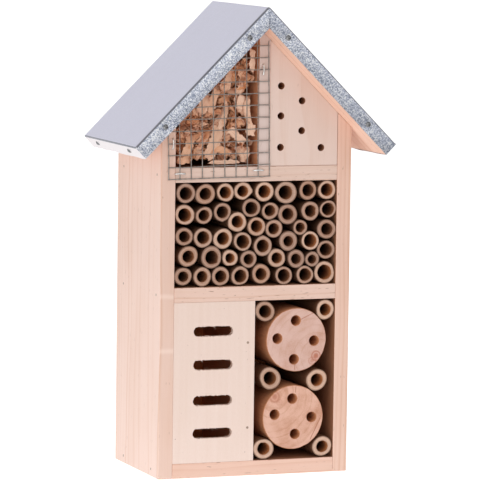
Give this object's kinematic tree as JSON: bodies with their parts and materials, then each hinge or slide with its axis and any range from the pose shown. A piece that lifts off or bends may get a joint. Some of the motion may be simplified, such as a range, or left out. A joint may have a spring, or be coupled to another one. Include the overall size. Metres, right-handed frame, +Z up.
{
  "type": "insect hotel",
  "caption": "Gabled wooden insect hotel with a folded metal roof, wire-fronted shavings attic, reed bay, drilled block and logs, and a slotted butterfly chamber.",
  "frame": {"origin": "middle of the footprint of the whole object, on the surface it stands on", "axes": "+Z up, -Y is the open front, +X is right seen from the front"},
  "size_m": [0.1832, 0.11, 0.3146],
  "materials": {
    "pine": "planed and sanded, unfinished",
    "roof_pine": "planed, unfinished",
    "block_pine": "planed and drilled, unfinished",
    "plywood": "sanded, with rough routed slot edges",
    "back_plywood": "sanded, unfinished",
    "cane": "sawn ends, smooth outside",
    "log": "debarked, sawn and drilled ends",
    "shavings": "loose curled shavings",
    "galvanised_sheet": "spangled zinc, semi-gloss",
    "galvanised_wire": "dull zinc",
    "staple_steel": "bright zinc",
    "nail_steel": "bright zinc",
    "brad_steel": "dull steel",
    "screw_steel": "zinc plated",
    "hanger_steel": "zinc plated"
  },
  "bodies": {
    "root": {"attic_divider": "pine", "back_panel": "back_plywood", "bay_reed_1": "cane", "bay_reed_2": "cane", "bay_reed_3": "cane", "bay_reed_4": "cane", "bay_reed_5": "cane", "bay_reed_6": "cane", "bottom_board": "pine", "brads": "brad_steel", "drilled_block": "block_pine", "hanger_plate": "hanger_steel", "hanger_screws": "screw_steel", "left_roof_board": "roof_pine", "left_side_panel": "pine", "lower_divider": "pine", "lower_log": "log", "lower_shelf": "pine", "mesh_staples": "staple_steel", "reed_fourth_1": "cane", "reed_fourth_2": "cane", "reed_fourth_3": "cane", "reed_fourth_4": "cane", "reed_fourth_5": "cane", "reed_fourth_6": "cane", "reed_fourth_7": "cane", "reed_fourth_8": "cane", "reed_second_1": "cane", "reed_second_2": "cane", "reed_second_3": "cane", "reed_second_4": "cane", "reed_second_5": "cane", "reed_second_6": "cane", "reed_second_7": "cane", "reed_second_8": "cane", "reed_third_1": "cane", "reed_third_2": "cane", "reed_third_3": "cane", "reed_third_4": "cane", "reed_third_5": "cane", "reed_top_1": "cane", "reed_top_2": "cane", "reed_top_3": "cane", "reed_top_4": "cane", "reed_top_5": "cane", "reed_top_6": "cane", "reed_top_7": "cane", "reed_top_8": "cane", "reeds_bottom_row": "cane", "reeds_fifth_row": "cane", "right_roof_board": "roof_pine", "right_side_panel": "pine", "roof_board_nails": "nail_steel", "roof_sheet": "galvanised_sheet", "roof_sheet_nails": "nail_steel", "slotted_panel": "plywood", "upper_log": "log", "upper_shelf": "pine", "wire_mesh": "galvanised_wire", "wood_shavings": "shavings"}
  },
  "joints": []
}
